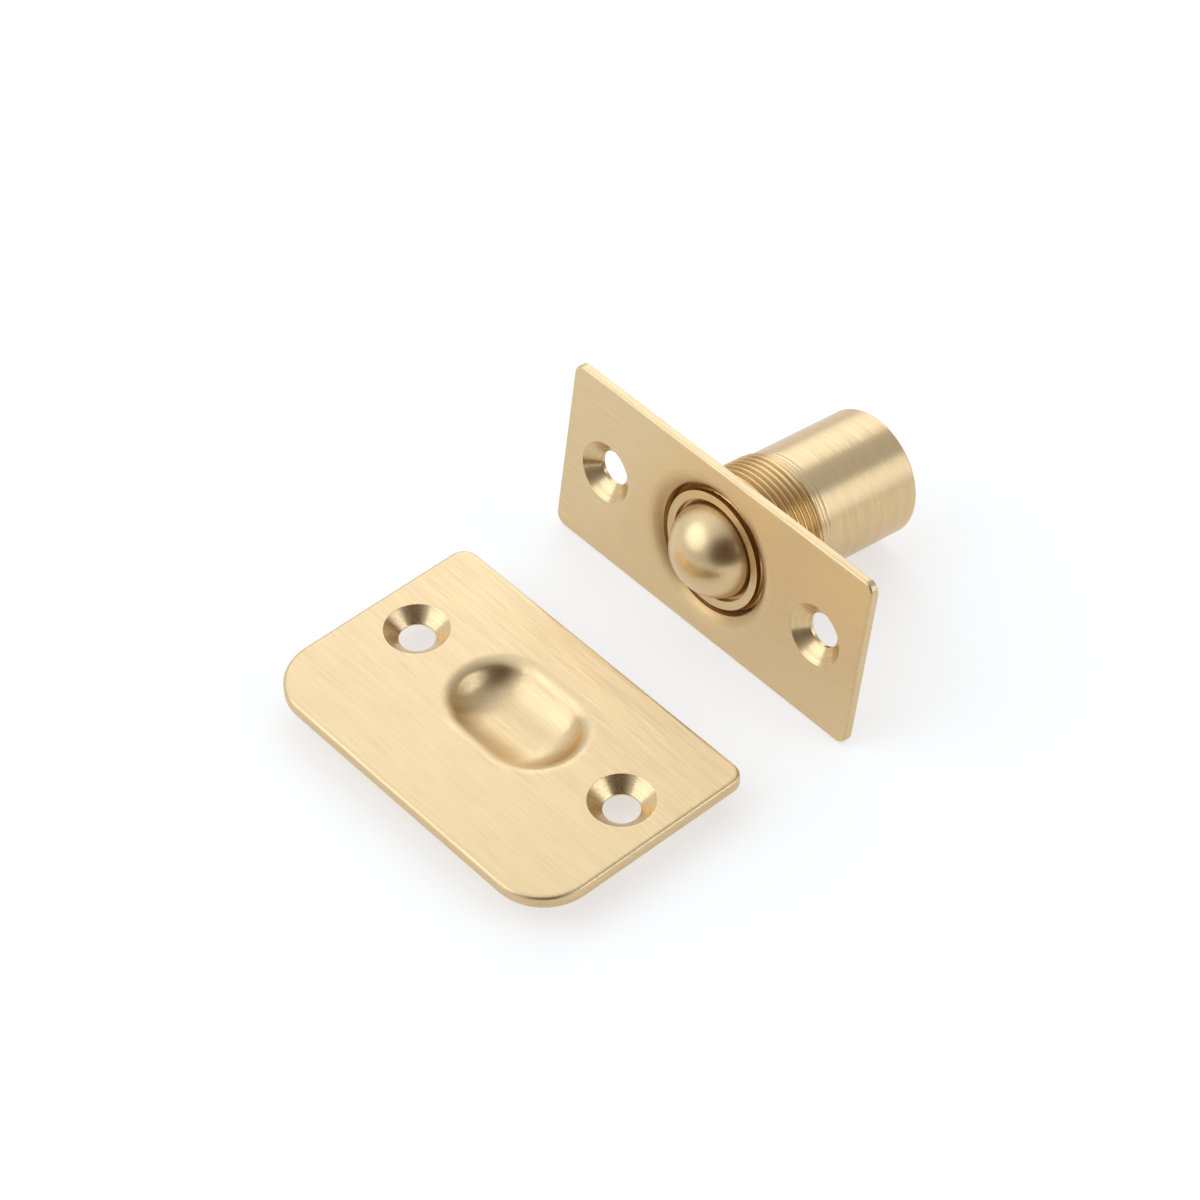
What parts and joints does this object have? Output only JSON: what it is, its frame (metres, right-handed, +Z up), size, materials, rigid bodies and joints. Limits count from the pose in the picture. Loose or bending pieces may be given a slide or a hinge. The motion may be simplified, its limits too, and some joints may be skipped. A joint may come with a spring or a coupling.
{
  "type": "adjustable ball catch",
  "caption": "Adjustable ball catch with a screwed barrel behind its face plate, and a strike plate with an obround hollow.",
  "frame": {"origin": "middle of the whole set's floor area, on the surface that the set lies on", "axes": "+X along both plates' long sides, +Y from the strike plate towards the catch, +Z up; the ball faces -Y and a little up"},
  "size_m": [0.0538, 0.079, 0.0253],
  "materials": {
    "plate_brass": "fine brushed grain along the plates",
    "turned_brass": "turned",
    "ball_brass": "satin",
    "spring_steel": "drawn wire"
  },
  "bodies": {
    "plates": {"face_plate": "plate_brass", "strike_plate": "plate_brass"},
    "carriage": {"spring": "spring_steel"},
    "barrel": {"barrel": "turned_brass", "rear_plug": "turned_brass"},
    "follower": {"ball_seat": "turned_brass"},
    "ball": {"ball": "ball_brass"}
  },
  "joints": [
    {"name": "barrel_advance", "type": "slide", "parent": "plates", "child": "carriage", "axis": [0, -0.9876, 0.1569], "range_m": [-0.00095, 0.0076]},
    {"name": "barrel_turn", "type": "hinge", "parent": "carriage", "child": "barrel", "pos_m": [0.00027, 0.02212, 0.01091], "axis": [0, -0.9876, 0.1569], "range_deg": [-360.5, 2880.5]},
    {"name": "ball_press", "type": "slide", "parent": "carriage", "child": "follower", "axis": [0, 0.9876, -0.1569], "range_m": [0, 0.005], "stiffness_N_per_m": 1500, "springref_m": -0.004, "deforming": ["spring"]},
    {"name": "ball_roll", "type": "hinge", "parent": "follower", "child": "ball", "pos_m": [0.00027, 0.0125, 0.01243], "axis": [1, 0, 0], "continuous": true}
  ],
  "couplings": [
    {"joint": "barrel_turn", "follows": "barrel_advance", "rad_per_m": 6613.9}
  ]
}
